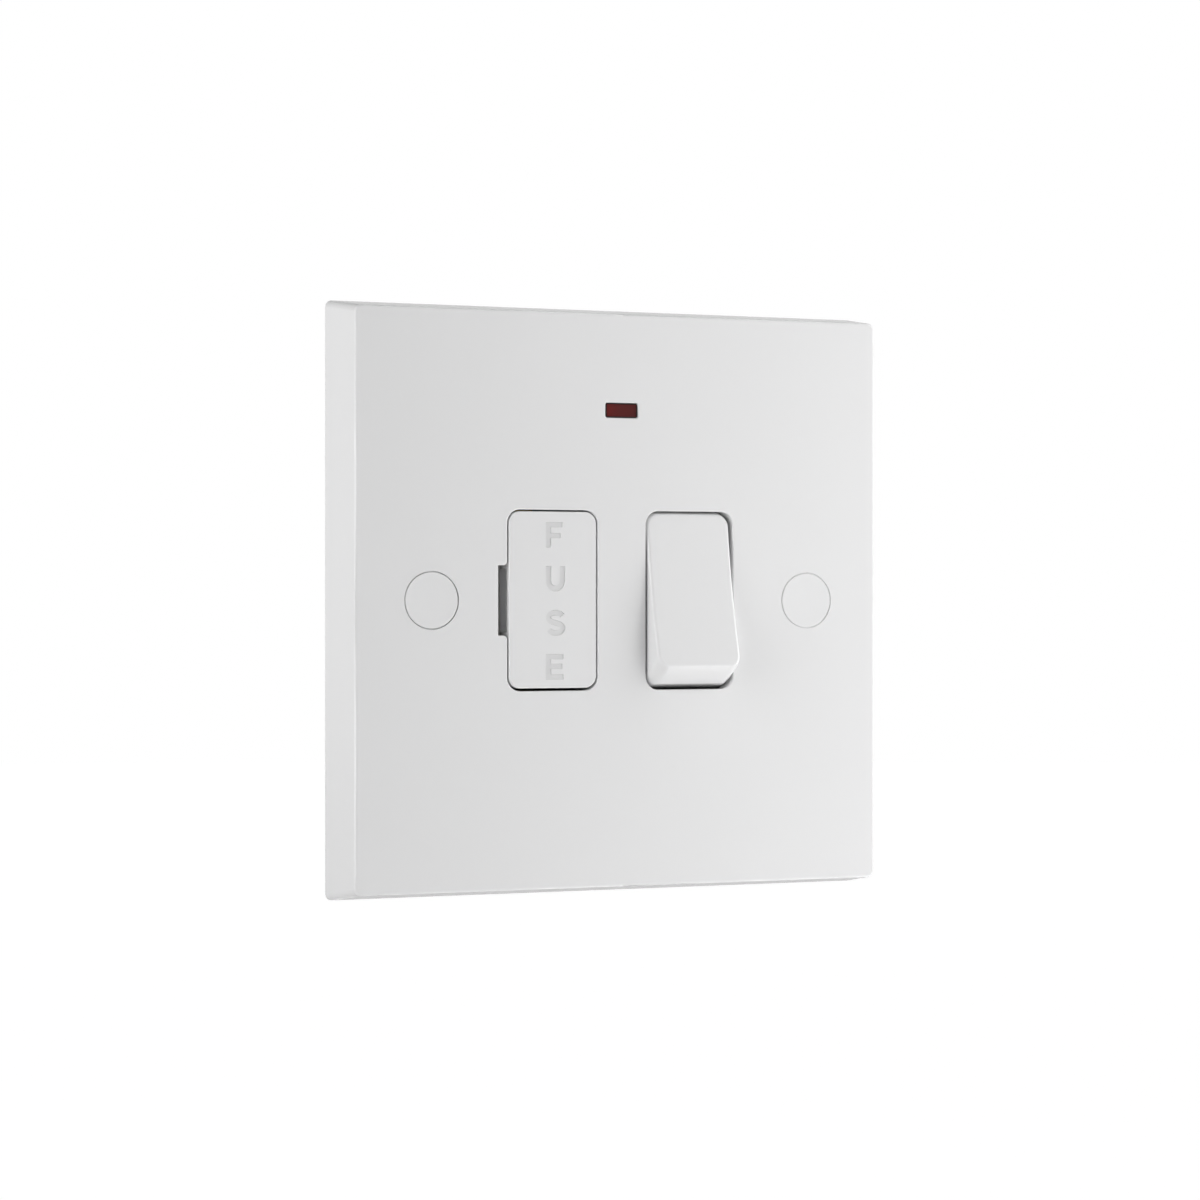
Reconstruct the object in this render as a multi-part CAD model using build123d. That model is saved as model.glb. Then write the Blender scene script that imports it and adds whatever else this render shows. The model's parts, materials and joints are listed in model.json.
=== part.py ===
from build123d import *
import os
from math import atan, cos, degrees, hypot, radians, sin

os.makedirs("parts", exist_ok=True)

# Switched fused connection unit on a one-gang plate, in millimetres.
# X is to the right and Z up. The wall plane is Y = 0, and the front looks towards -Y.

# Faceplate: a square moulding, hollow at the back, whose sides lean in towards the front
plate_size = 86.0
plate_depth = 9.0
plate_lean = 1.22
plate_corner = 1.0
plate_edge = 0.4
plate_wall = 2.6
skirt_wall = 2.2
opening_edge = 0.2

# Openings for the fuse carrier and the rocker, side by side
module_x = -0.27
opening_pitch = 22.06
opening_w = 14.3
opening_h = 26.2
opening_corner = 2.05

# Prising notch beside the fuse carrier
notch_w = 1.4
notch_h = 10.1
notch_corner = 0.6
notch_root = 0.15

# Fixing holes and their snap-in caps
fixing_pitch = 60.3
fixing_hole_r = 2.0
fixing_seat = 3.0
head_recess_r = 3.75
fixing_boss_wall = 1.6
boss_recess = 0.5
boss_rib = 1.4
boss_rib_h = 3.6
cap_r = 4.05
cap_gap = 0.15
cap_thick = 1.1
cap_edge = 0.15
cap_skirt_wall = 0.8
cap_skirt_length = 1.8
cap_skirt_gap = 0.05

# Rocker: a slice of a wheel that turns on two pins
pivot_back = 5.55
rocker_stand = 1.45
rocker_dish = 0.75
rocker_tilt = 11.5
rocker_play = 0.15
rocker_end_gap = 0.62
rocker_swing_gap = 0.2
rocker_side_gap = 0.45
rocker_corner = 1.75
rocker_edge = 0.45
rocker_reach = 0.1
rocker_under_edge = 0.8
rocker_wall = 1.3
rocker_face_wall = 1.8
skirt_depth = 5.4
hub_back = 2.6
hub_half = 4.0
pin_r = 1.5
pin_length = 1.6
pin_gap = 0.08

# Plungers and springs in the rocker
pole_offset = 3.4
plunger_r = 1.55
plunger_gap = 0.15
plunger_clearance = 0.1
tube_wall = 0.65
tube_back = 7.0
bore_depth = 11.0
spring_length = 5.0
spring_wire_r = 0.25
spring_pitch = 1.0
spring_gap = 0.15

# Tilting contacts, each on a fulcrum post
fulcrum_back = 16.45
contact_swing = 24.0
contact_w = 4.6
contact_front = 1.25
contact_rear = 0.25
contact_arm = 9.0
tip_arm = 7.6
tip_r = 1.2
tip_thick = 0.8
tip_gap = 0.05
post_r = 0.45
post_gap = 0.1
post_w = 3.6

# Brass straps, all folded from one sheet
strip = 0.7
strap_w = 4.0
strap_turn_w = 2.8
strap_gap = 0.12
strap_lap = 1.5

# Cartridge fuse
fuse_length = 25.4
fuse_r = 3.175
fuse_cap_length = 5.6
fuse_cap_wall = 0.5
barrel_r = 2.9
fuse_fit = 0.025
fuse_back = 7.0

# Fuse carrier
carrier_gap = 0.25
carrier_end_gap = 0.32
carrier_lift = 0.08
carrier_corner = 1.75
carrier_edge = 0.2
panel_wall = 2.4
cheek_wall = 1.4
cheek_half = 9.0
cheek_length = 14.6
cheek_rest = 0.1
jaw_z = 4.5
jaw_thick = 2.2
jaw_grip = 1.4
lip_thick = 0.8
lip_reach = 1.0
lip_height = 9.2
lip_depth = 2.6

# Fuse clips
clip_w = 3.2
clip_z = 10.9
clip_reach = 1.0
clip_flare = 0.7
clip_base = 5.0

# Neon indicator
neon_z = 27.74
window_w = 5.24
window_h = 2.2
window_corner = 0.35
lens_gap = 0.06
lens_recess = 0.15
lens_edge = 0.12
lens_frame = 0.3
lens_dish = 0.1
flange_w = 8.2
flange_h = 5.0
flange_thick = 1.0
cradle_wall = 1.0
cradle_gap = 0.1
lamp_r = 2.0
lamp_wall = 0.4
lamp_seal = 1.5
lamp_gap = 0.3
lamp_fit = 0.05
lead_r = 0.35
lead_fit = 0.02
lead_pitch = 1.5
lead_turn = 0.7
lead_out = 2.0
lead_rise = 1.7
resistor_r = 1.1
resistor_length = 5.0
resistor_edge = 0.35
resistor_out = 3.0

# Terminals
terminal_w = 8.0
terminal_length = 9.5
terminal_corner = 0.6
terminal_gap = 0.15
wire_r = 2.2
wire_wall = 1.2
screw_r = 1.75
screw_fit = 0.03
screw_stand = 0.4
screw_head_r = 2.8
screw_head = 2.0
screw_head_edge = 0.3
screw_slot_w = 0.9
screw_slot_depth = 1.0
earth_strap_w = 4.4
earth_leg = 7.0

# Rear housing
well_gap = 0.1
well_reach = 3.48
well_corner = 1.5
housing_wall = 2.0
partition = 1.3
shelf = 1.7
base_wall = 2.3
housing_corner = 1.5
housing_edge = 0.6
housing_lip = 0.9
core_wall = 1.3
core_depth = 9.0
groove_depth = 1.5
ear_out = 3.2
ear_r = 3.2
ear_z = 14.0
ear_thick = 2.4
ear_set = 0.8
gusset = 1.0
gusset_reach = 1.6
gusset_back = 3.2
panel_depth = 0.4
panel_margin = 2.2
panel_corner = 1.0
joint_boss_r = 3.0
joint_screw_r = 1.2
joint_screw_fit = 0.05
joint_screw_bite = 4.6
joint_head_r = 2.6
joint_head = 1.9
joint_head_edge = 0.6
cross_length = 2.6
cross_w = 0.65
cross_depth = 0.95

# Depths that follow from the sizes above
front = -plate_depth
inside = front + plate_wall
pivot_y = front + pivot_back
fulcrum_y = pivot_y + fulcrum_back
strap_front = fulcrum_y - contact_rear + 2 * tip_thick + tip_gap
floor_y = strap_front + strip
housing_back = floor_y + base_wall
fuse_y = front + fuse_back
clip_base_front = fuse_y + clip_base
block_front = clip_base_front + strip
shelf_front = block_front - shelf
wire_y = block_front + wire_wall + wire_r
panel_back = front + panel_wall
cheek_back = panel_back + cheek_length
lamp_y = inside + flange_thick + lamp_gap + lamp_r
ear_front = -ear_set
earth_front = housing_back - groove_depth

# Places across the front
fuse_x = module_x - opening_pitch / 2
rocker_hole_x = module_x + opening_pitch / 2
rocker_x = rocker_hole_x - rocker_play
pole_live_x = rocker_x - pole_offset
pole_neutral_x = rocker_x + pole_offset
rocker_w = opening_w - 2 * rocker_side_gap
rocker_face = pivot_back + rocker_stand
rocker_r = hypot(opening_h / 2, pivot_back) - rocker_end_gap
rocker_half = opening_h / 2 + rocker_reach
well_half_w = opening_w / 2 + well_gap
well_half = opening_h / 2 + well_reach
terminal_in = well_half + partition + terminal_gap
terminal_out = terminal_in + terminal_length
terminal_z = (terminal_in + terminal_out) / 2
housing_half_w = opening_pitch / 2 + well_half_w + housing_wall
housing_half = terminal_out + housing_lip
terminal_pitch = housing_half_w - housing_wall - terminal_gap - terminal_w / 2
live_column = module_x - terminal_pitch
neutral_column = module_x + terminal_pitch
ear_x = housing_half_w + ear_out
half_swing = contact_swing / 2
carrier_w = opening_w - 2 * carrier_gap
carrier_h = opening_h - 2 * carrier_end_gap
bearing_r = pin_r + pin_gap
plunger_bore_r = plunger_r + plunger_clearance
# the nose clears the bent contact at mid swing by plunger_gap
nose_back = fulcrum_back - (plunger_r + contact_front + plunger_gap) / cos(radians(half_swing))


def facing(y):
    """The upright plane at depth y, as seen from the front: its x is X and its y is Z."""
    return Plane.XZ.offset(-y)


def slab(sketch, near, far):
    """A sketch drawn as seen from the front, filled from the near depth to the far one."""
    return extrude(facing(far) * sketch, far - near)


def bar(profile, left, right):
    """A profile drawn in Y and Z, carried across from one X to another."""
    return extrude(Plane.YZ.offset(left) * profile, right - left)


def column(profile, low, high):
    """A profile drawn in X and Y, carried up from one Z to another."""
    return extrude(Plane.XY.offset(low) * profile, high - low)


def outline(*points):
    """A flat face with straight sides between the points."""
    return make_face(Polyline(*points, close=True))


def between(x0, x1, z0, z1):
    """A rectangle given by its limits, as seen from the front."""
    return Pos((x0 + x1) / 2, (z0 + z1) / 2) * Rectangle(x1 - x0, z1 - z0)


def wire(points, radius):
    """A round lead along straight runs with rounded turns."""
    path = FilletPolyline(*points, radius=radius)
    return sweep(Plane(path @ 0, z_dir=path % 0) * Circle(lead_r), path=path)


def fuse_opening():
    """The fuse carrier's opening with the prising notch in its left side."""
    left = fuse_x - opening_w / 2
    hole = Pos(fuse_x, 0) * RectangleRounded(opening_w, opening_h, opening_corner)
    hole += between(left - notch_w, left + opening_corner, -notch_h / 2, notch_h / 2)
    roots = hole.vertices().group_by(Axis.X)[0]
    hole = fillet(roots, notch_root)
    mouth = [v for v in hole.vertices() if hypot(v.X - left, abs(v.Y) - notch_h / 2) < notch_root]
    return fillet(mouth, notch_corner)


def ear_places():
    """The four screws that hold the housing to the faceplate, as X and Z."""
    return [(module_x + sx * ear_x, sz * ear_z) for sx in (-1, 1) for sz in (-1, 1)]


def leaning_block(size, depth):
    """A square block from the wall plane forwards, whose sides lean in and meet in rounded corners."""
    lean = degrees(atan(plate_lean / plate_depth))
    block = extrude(facing(0) * Rectangle(size, size), depth, taper=lean)
    return fillet(block.edges().group_by(Axis.Y)[1], plate_corner)


def wheel(width, radius, corner):
    """A wheel about the X axis whose rim has rounded corners."""
    profile = Rectangle(width, radius, align=(Align.CENTER, Align.MIN))
    profile = fillet(profile.vertices().group_by(Axis.Y)[-1], corner)
    return revolve(Plane.XZ * profile, Axis.X)


def make_faceplate():
    plate = leaning_block(plate_size, plate_depth)
    plate = fillet(plate.faces().sort_by(Axis.Y)[0].edges(), plate_edge)
    plate -= leaning_block(plate_size - 2 * skirt_wall, plate_depth - plate_wall)

    # fixing bosses, joint bosses and the lamp cradle stand on the inner face
    boss_r = head_recess_r + fixing_boss_wall
    for side in (-1, 1):
        plate += slab(Pos(side * fixing_pitch / 2, 0) * Circle(boss_r), inside, -boss_recess)
        rib = sorted((side * fixing_pitch / 2, side * (plate_size - skirt_wall) / 2))
        plate += slab(between(*rib, -boss_rib / 2, boss_rib / 2), inside, inside + boss_rib_h)
    for x, z in ear_places():
        plate += slab(Pos(x, z) * Circle(joint_boss_r), inside, ear_front)
        pilot = Pos(x, z) * Circle(joint_screw_r + joint_screw_fit)
        plate -= slab(pilot, ear_front - joint_screw_bite, ear_front)
    room_w = flange_w + 2 * cradle_gap
    room_h = flange_h + 2 * cradle_gap
    cradle = Rectangle(room_w + 2 * cradle_wall, room_h + 2 * cradle_wall) - Rectangle(room_w, room_h)
    plate += slab(Pos(module_x, neon_z) * cradle, inside, lamp_y)
    seat = Pos(lamp_y, neon_z) * Circle(lamp_r + lamp_fit)
    plate -= bar(seat, module_x - room_w, module_x + room_w)

    # two lugs keep the rocker's pins in their bearings
    lug_in = well_half_w + well_gap
    lug_out = rocker_w / 2 + pin_length
    for side in (-1, 1):
        edges = sorted((rocker_x + side * lug_in, rocker_x + side * lug_out))
        plate += slab(between(*edges, -pin_r, pin_r), inside, pivot_y - bearing_r)

    # openings with rounded front edges, the rocker's with ends that clear its swing
    rocker_opening = Pos(rocker_hole_x, 0) * RectangleRounded(opening_w, opening_h, opening_corner)
    neon_window = Pos(module_x, neon_z) * RectangleRounded(window_w, window_h, window_corner)
    for hole in (fuse_opening(), rocker_opening, neon_window):
        plate -= slab(hole, front, inside)
    plate = fillet(plate.faces().sort_by(Axis.Y)[0].inner_wires().edges(), opening_edge)
    gap = rocker_swing_gap
    swing = Pos(rocker_x, pivot_y, 0) * wheel(rocker_w + 2 * gap, rocker_r + gap, rocker_corner + gap)
    plate -= swing & slab(Pos(rocker_hole_x, 0) * Rectangle(opening_w, plate_size), front, inside)
    for side in (-1, 1):
        at = Pos(side * fixing_pitch / 2, 0)
        plate -= slab(at * Circle(cap_r + cap_gap), front, front + cap_thick)
        plate -= slab(at * Circle(head_recess_r), front, -boss_recess - fixing_seat)
        plate -= slab(at * Circle(fixing_hole_r), front, -boss_recess)
    return plate


def make_screw_cap(side):
    at = Pos(side * fixing_pitch / 2, 0)
    disc = slab(at * Circle(cap_r), front, front + cap_thick)
    disc = fillet(disc.faces().sort_by(Axis.Y)[0].edges(), cap_edge)
    skirt_r = head_recess_r - cap_skirt_gap
    ring = Circle(skirt_r) - Circle(skirt_r - cap_skirt_wall)
    return disc + slab(at * ring, front + cap_thick, front + cap_thick + cap_skirt_length)


def make_neon_lens():
    at = Pos(module_x, neon_z)
    pane = RectangleRounded(window_w - 2 * lens_gap, window_h - 2 * lens_gap, window_corner - lens_gap)
    flange = RectangleRounded(flange_w, flange_h, window_corner)
    face = front + lens_recess
    lens = slab(at * pane, face, inside)
    lens = fillet(lens.faces().sort_by(Axis.Y)[0].edges(), lens_edge)
    dish = Rectangle(window_w - 2 * (lens_gap + lens_frame), window_h - 2 * (lens_gap + lens_frame))
    lens -= slab(at * dish, face, face + lens_dish)
    return lens + slab(at * flange, inside, inside + flange_thick)


def lamp_end():
    """Half the lamp's length: its ends lie on the cradle's two walls."""
    return flange_w / 2 + cradle_gap + cradle_wall


def make_neon_lamp():
    reach = lamp_end()
    bulb = bar(Circle(lamp_r), lamp_r - reach, reach)
    bulb += Pos(lamp_r - reach, 0, 0) * Sphere(lamp_r)
    bulb -= bar(Circle(lamp_r - lamp_wall), lamp_r - reach, reach - lamp_seal)
    bulb -= Pos(lamp_r - reach, 0, 0) * Sphere(lamp_r - lamp_wall)
    for side in (-1, 1):
        bulb -= bar(Pos(side * lead_pitch / 2, 0) * Circle(lead_r + lead_fit), 0, reach)
    return Pos(module_x, lamp_y, neon_z) * bulb


def lead_rest(x):
    """Where a lead ends: lying on the outer end of a load terminal, beside its wire hole."""
    return (x + (wire_r + terminal_w / 2) / 2, wire_y, terminal_out + lead_r + lead_fit)


def make_neon_leads():
    """The live lead runs back behind the lamp, the neutral one straight to the resistor."""
    start = module_x
    seal = module_x + lamp_end()
    y_live = lamp_y + lead_pitch / 2
    y_neutral = lamp_y - lead_pitch / 2
    end = lead_rest(live_column)
    live = wire(
        (
            (start, y_live, neon_z),
            (seal + lead_out, y_live, neon_z),
            (seal + lead_out, y_live + lead_rise, neon_z),
            (end[0], y_live + lead_rise, end[2]),
            end,
        ),
        lead_turn,
    )
    neutral = bar(Pos(y_neutral, neon_z) * Circle(lead_r), start, seal + resistor_out)
    return live, neutral


def make_neon_resistor():
    left = module_x + lamp_end() + resistor_out
    right = left + resistor_length
    y = lamp_y - lead_pitch / 2
    body = bar(Pos(y, neon_z) * Circle(resistor_r), left, right)
    body = fillet(body.edges().filter_by(GeomType.CIRCLE), resistor_edge)
    end = lead_rest(neutral_column)
    return body + wire(((right, y, neon_z), (end[0], y, end[2]), end), lead_turn)


def make_fuse_carrier():
    at = Pos(fuse_x, carrier_lift)
    carrier = slab(at * RectangleRounded(carrier_w, carrier_h, carrier_corner), front, panel_back)
    carrier = fillet(carrier.faces().sort_by(Axis.Y)[0].edges(), carrier_edge)
    cheek_x = (carrier_w - cheek_wall) / 2
    for side in (-1, 1):
        cheek = Pos(fuse_x + side * cheek_x, 0) * Rectangle(cheek_wall, 2 * cheek_half)
        carrier += slab(cheek, panel_back, cheek_back)
        jaw = Pos(fuse_x, side * jaw_z) * Rectangle(carrier_w - cheek_wall, jaw_thick)
        carrier += slab(jaw, panel_back, fuse_y + jaw_grip)
    carrier -= column(Pos(fuse_x, fuse_y) * Circle(barrel_r + fuse_fit), -cheek_half, cheek_half)

    # a lip that a blade prises, behind the left edge
    left = fuse_x - carrier_w / 2
    under = between(left, left + lip_reach, -lip_height / 2, lip_height / 2)
    return carrier - slab(under, front + lip_thick, front + lip_thick + lip_depth)


def make_fuse_barrel():
    half = fuse_length / 2 - fuse_cap_wall
    return column(Pos(fuse_x, fuse_y) * Circle(barrel_r), -half, half)


def make_fuse_cap(side):
    at = Pos(fuse_x, fuse_y)
    end = fuse_length / 2
    cup = column(at * Circle(fuse_r), end - fuse_cap_length, end)
    cup = fillet(cup.faces().sort_by(Axis.Z)[-1].edges(), fuse_cap_wall / 2)
    cup -= column(at * Circle(barrel_r + fuse_fit), end - fuse_cap_length, end - fuse_cap_wall)
    return cup if side > 0 else mirror(cup, about=Plane.XY)


def clip_spring(side):
    """A U of strip that is open to the front and grips one end cap, with a flared mouth."""
    gap = fuse_r + fuse_fit
    grip = fuse_y - clip_reach
    mouth = grip - clip_flare
    inner = ((gap + clip_flare, mouth), (gap, grip), (gap, clip_base_front))
    outer = ((gap + strip, block_front), (gap + strip, grip), (gap + strip + clip_flare, mouth))
    right = inner + outer
    left = [(-x, y) for x, y in reversed(right)]
    profile = outline(*right[:3], *left[3:], *left[:3], *right[3:])
    low = side * clip_z - clip_w / 2
    return column(Pos(fuse_x, 0) * profile, low, low + clip_w)


def upper_tail():
    """The upper clip's tail, which runs under the load live terminal."""
    half = strap_w / 2
    turn = well_half - strap_w
    tail = between(fuse_x - half, fuse_x + half, clip_z, terminal_in)
    tail += between(live_column - half, fuse_x + half, turn, well_half)
    return tail + between(live_column - half, live_column + half, turn, terminal_z)


def make_fuse_clip_upper():
    return clip_spring(1) + slab(upper_tail(), clip_base_front, block_front)


def live_link():
    """The flat of the lower clip's strap, up the fuse well and across to the live fixed contact."""
    foot = -clip_z + clip_w / 2
    low = tip_arm - strap_w / 2 + tip_gap
    high = clip_z - clip_w / 2 - strap_gap
    rise = between(fuse_x - strap_w / 2, fuse_x + strap_w / 2, foot, high)
    return rise + between(fuse_x - strap_w / 2, pole_live_x + strap_w / 2, low, high)


def make_fuse_clip_lower():
    foot = -clip_z + clip_w / 2
    half = strap_w / 2
    riser = between(fuse_x - half, fuse_x + half, foot, foot + strip)
    return clip_spring(-1) + slab(riser, clip_base_front, floor_y) + slab(live_link(), strap_front, floor_y)


def terminal_block(x, row):
    """A brass block with a wire tunnel along Z and a clamping screw's hole from the back."""
    z0, z1 = sorted((row * terminal_in, row * terminal_out))
    plan = RectangleRounded(terminal_w, terminal_length, terminal_corner)
    block = slab(Pos(x, row * terminal_z) * plan, block_front, strap_front)
    block -= column(Pos(x, wire_y) * Circle(wire_r), z0, z1)
    return block - slab(Pos(x, row * terminal_z) * Circle(screw_r + screw_fit), wire_y, strap_front)


def fulcrum_post(x):
    """A post with a rounded ridge, on which a contact tilts."""
    profile = Pos(fulcrum_y, 0) * Circle(post_r)
    profile += Pos((fulcrum_y + floor_y) / 2, 0) * Rectangle(floor_y - fulcrum_y, 2 * post_r)
    return bar(profile, x - post_w / 2, x + post_w / 2)


def supply_live_strap():
    half = strap_w / 2
    low = -well_half + strap_gap
    turn = low + strap_turn_w
    down = between(pole_live_x - half, pole_live_x + half, low, half)
    across = between(live_column - half, pole_live_x + half, low, turn)
    return down + across + between(live_column - half, live_column + half, -terminal_in - strap_lap, turn)


def supply_neutral_strap():
    half = strap_w / 2
    low = -terminal_in - strap_lap
    return between(pole_neutral_x - half, pole_neutral_x + half, low, half)


def load_neutral_strap():
    half = strap_w / 2
    return between(pole_neutral_x - half, pole_neutral_x + half, tip_arm - half, terminal_in + strap_lap)


def strap(plan):
    return slab(plan, strap_front, floor_y)


def make_supply_terminal(column_x, pole_x, plan):
    """A supply terminal in one piece with its strap and the post that its contact tilts on."""
    return terminal_block(column_x, -1) + strap(plan) + fulcrum_post(pole_x)


def make_fixed_tip(x):
    return slab(Pos(x, tip_arm) * Circle(tip_r), strap_front - tip_thick, strap_front)


def make_earth_strap():
    back = earth_front + strip
    side = outline(
        (earth_front, -terminal_in + strip),
        (earth_front, terminal_in - strip),
        (back - earth_leg, terminal_in - strip),
        (back - earth_leg, terminal_in),
        (back, terminal_in),
        (back, -terminal_in),
        (back - earth_leg, -terminal_in),
        (back - earth_leg, -terminal_in + strip),
    )
    return bar(side, module_x - earth_strap_w / 2, module_x + earth_strap_w / 2)


def terminal_screw(x, row):
    at = Pos(x, row * terminal_z)
    under = strap_front + screw_stand
    screw = slab(at * Circle(screw_r), wire_y + wire_r + terminal_gap, under)
    head = slab(at * Circle(screw_head_r), under, under + screw_head)
    head = fillet(head.faces().sort_by(Axis.Y)[-1].edges(), screw_head_edge)
    slot = at * Rectangle(2 * screw_head_r, screw_slot_w)
    top = under + screw_head
    return screw + head - slab(slot, top - screw_slot_depth, top)


def joint_screw(x, z):
    at = Pos(x, z)
    seat = ear_front + ear_thick
    screw = slab(at * Circle(joint_screw_r), ear_front - joint_screw_bite, seat)
    head = slab(at * Circle(joint_head_r), seat, seat + joint_head)
    head = fillet(head.faces().sort_by(Axis.Y)[-1].edges(), joint_head_edge)
    top = seat + joint_head
    for arm in ((cross_length, cross_w), (cross_w, cross_length)):
        head -= slab(at * Rectangle(*arm), top - cross_depth, top)
    return screw + head


def rocker_solid():
    """The rocker level, about its pins at the origin."""
    skirt_y = skirt_depth - pivot_back
    room_half = rocker_half - rocker_wall
    room_half_w = rocker_w / 2 - rocker_wall
    side = outline(
        (-rocker_r, -rocker_half),
        (skirt_y, -rocker_half),
        (skirt_y, -room_half),
        (hub_back, -hub_half),
        (hub_back, hub_half),
        (skirt_y, room_half),
        (skirt_y, rocker_half),
        (-rocker_r, rocker_half),
    )
    body = wheel(rocker_w, rocker_r, rocker_corner) & bar(side, -rocker_w, rocker_w)
    dish_r = (rocker_half**2 + rocker_dish**2) / (2 * rocker_dish)
    body -= bar(Pos(-rocker_face - dish_r, 0) * Circle(dish_r), -rocker_w, rocker_w)
    body = fillet(body.faces().sort_by(Axis.Y)[0].edges(), rocker_edge)
    for end in (0, -1):
        wall = body.faces().filter_by(Axis.Z).sort_by(Axis.Z)[end]
        body = fillet(wall.edges().sort_by(Axis.Y)[0], rocker_under_edge)

    # hollow behind the face, open to the back
    inner_face = rocker_face_wall - rocker_face
    room = bar(Circle(rocker_r - rocker_wall), -room_half_w, room_half_w)
    body -= room & slab(between(-room_half_w, room_half_w, -room_half, room_half), inner_face, rocker_r)
    for side_x in (-1, 1):
        at = Pos(side_x * pole_offset, 0)
        body += slab(at * Circle(plunger_bore_r + tube_wall), inner_face, tube_back)
        body -= slab(at * Circle(plunger_bore_r), tube_back - bore_depth, tube_back)
        pin = sorted((side_x * (rocker_w / 2 - rocker_wall), side_x * (rocker_w / 2 + pin_length)))
        body += bar(Circle(pin_r), *pin)
    return body


def plunger_solid(side):
    """A round-nosed plunger, in its bore in the level rocker."""
    at = Pos(side * pole_offset, 0)
    shoulder = tube_back - bore_depth + spring_length
    nose = Pos(side * pole_offset, nose_back, 0) * Sphere(plunger_r)
    return slab(at * Circle(plunger_r), shoulder, nose_back) + nose


def spring_solid(side):
    """A coil between the bore's end and the plunger."""
    start = tube_back - bore_depth + spring_wire_r
    coil = Helix(
        pitch=spring_pitch,
        height=spring_length - 2 * spring_wire_r,
        radius=plunger_r - spring_wire_r - spring_gap,
        center=(side * pole_offset, start, 0),
        direction=(0, 1, 0),
    )
    return sweep(Plane(coil @ 0, z_dir=coil % 0) * Circle(spring_wire_r), path=coil, is_frenet=True)


def contact_point(offset, along, sign):
    """A point of the level contact, so far in front of the fulcrum and so far along an arm."""
    bend = radians(half_swing)
    y = -offset * cos(bend) - along * sin(bend)
    z = -offset * sin(bend) + along * cos(bend)
    return y, sign * z


def contact_solid():
    """A strip bent to a shallow V, level, about its fulcrum at the origin."""
    bend = cos(radians(half_swing))
    blade = outline(
        (-contact_front / bend, 0),
        contact_point(contact_front, contact_arm, 1),
        contact_point(contact_rear, contact_arm, 1),
        (-contact_rear / bend, 0),
        contact_point(contact_rear, contact_arm, -1),
        contact_point(contact_front, contact_arm, -1),
    )
    return bar(blade - Circle(post_r + post_gap), -contact_w / 2, contact_w / 2)


def contact_tip_solid():
    """The tip on the back of the contact's upper arm."""
    y, z = contact_point(contact_rear, tip_arm, 1)
    bend = radians(half_swing)
    face = Plane(origin=(0, y, z), x_dir=(1, 0, 0), z_dir=(0, cos(bend), sin(bend)))
    return extrude(face * Circle(tip_r), tip_thick)


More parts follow.
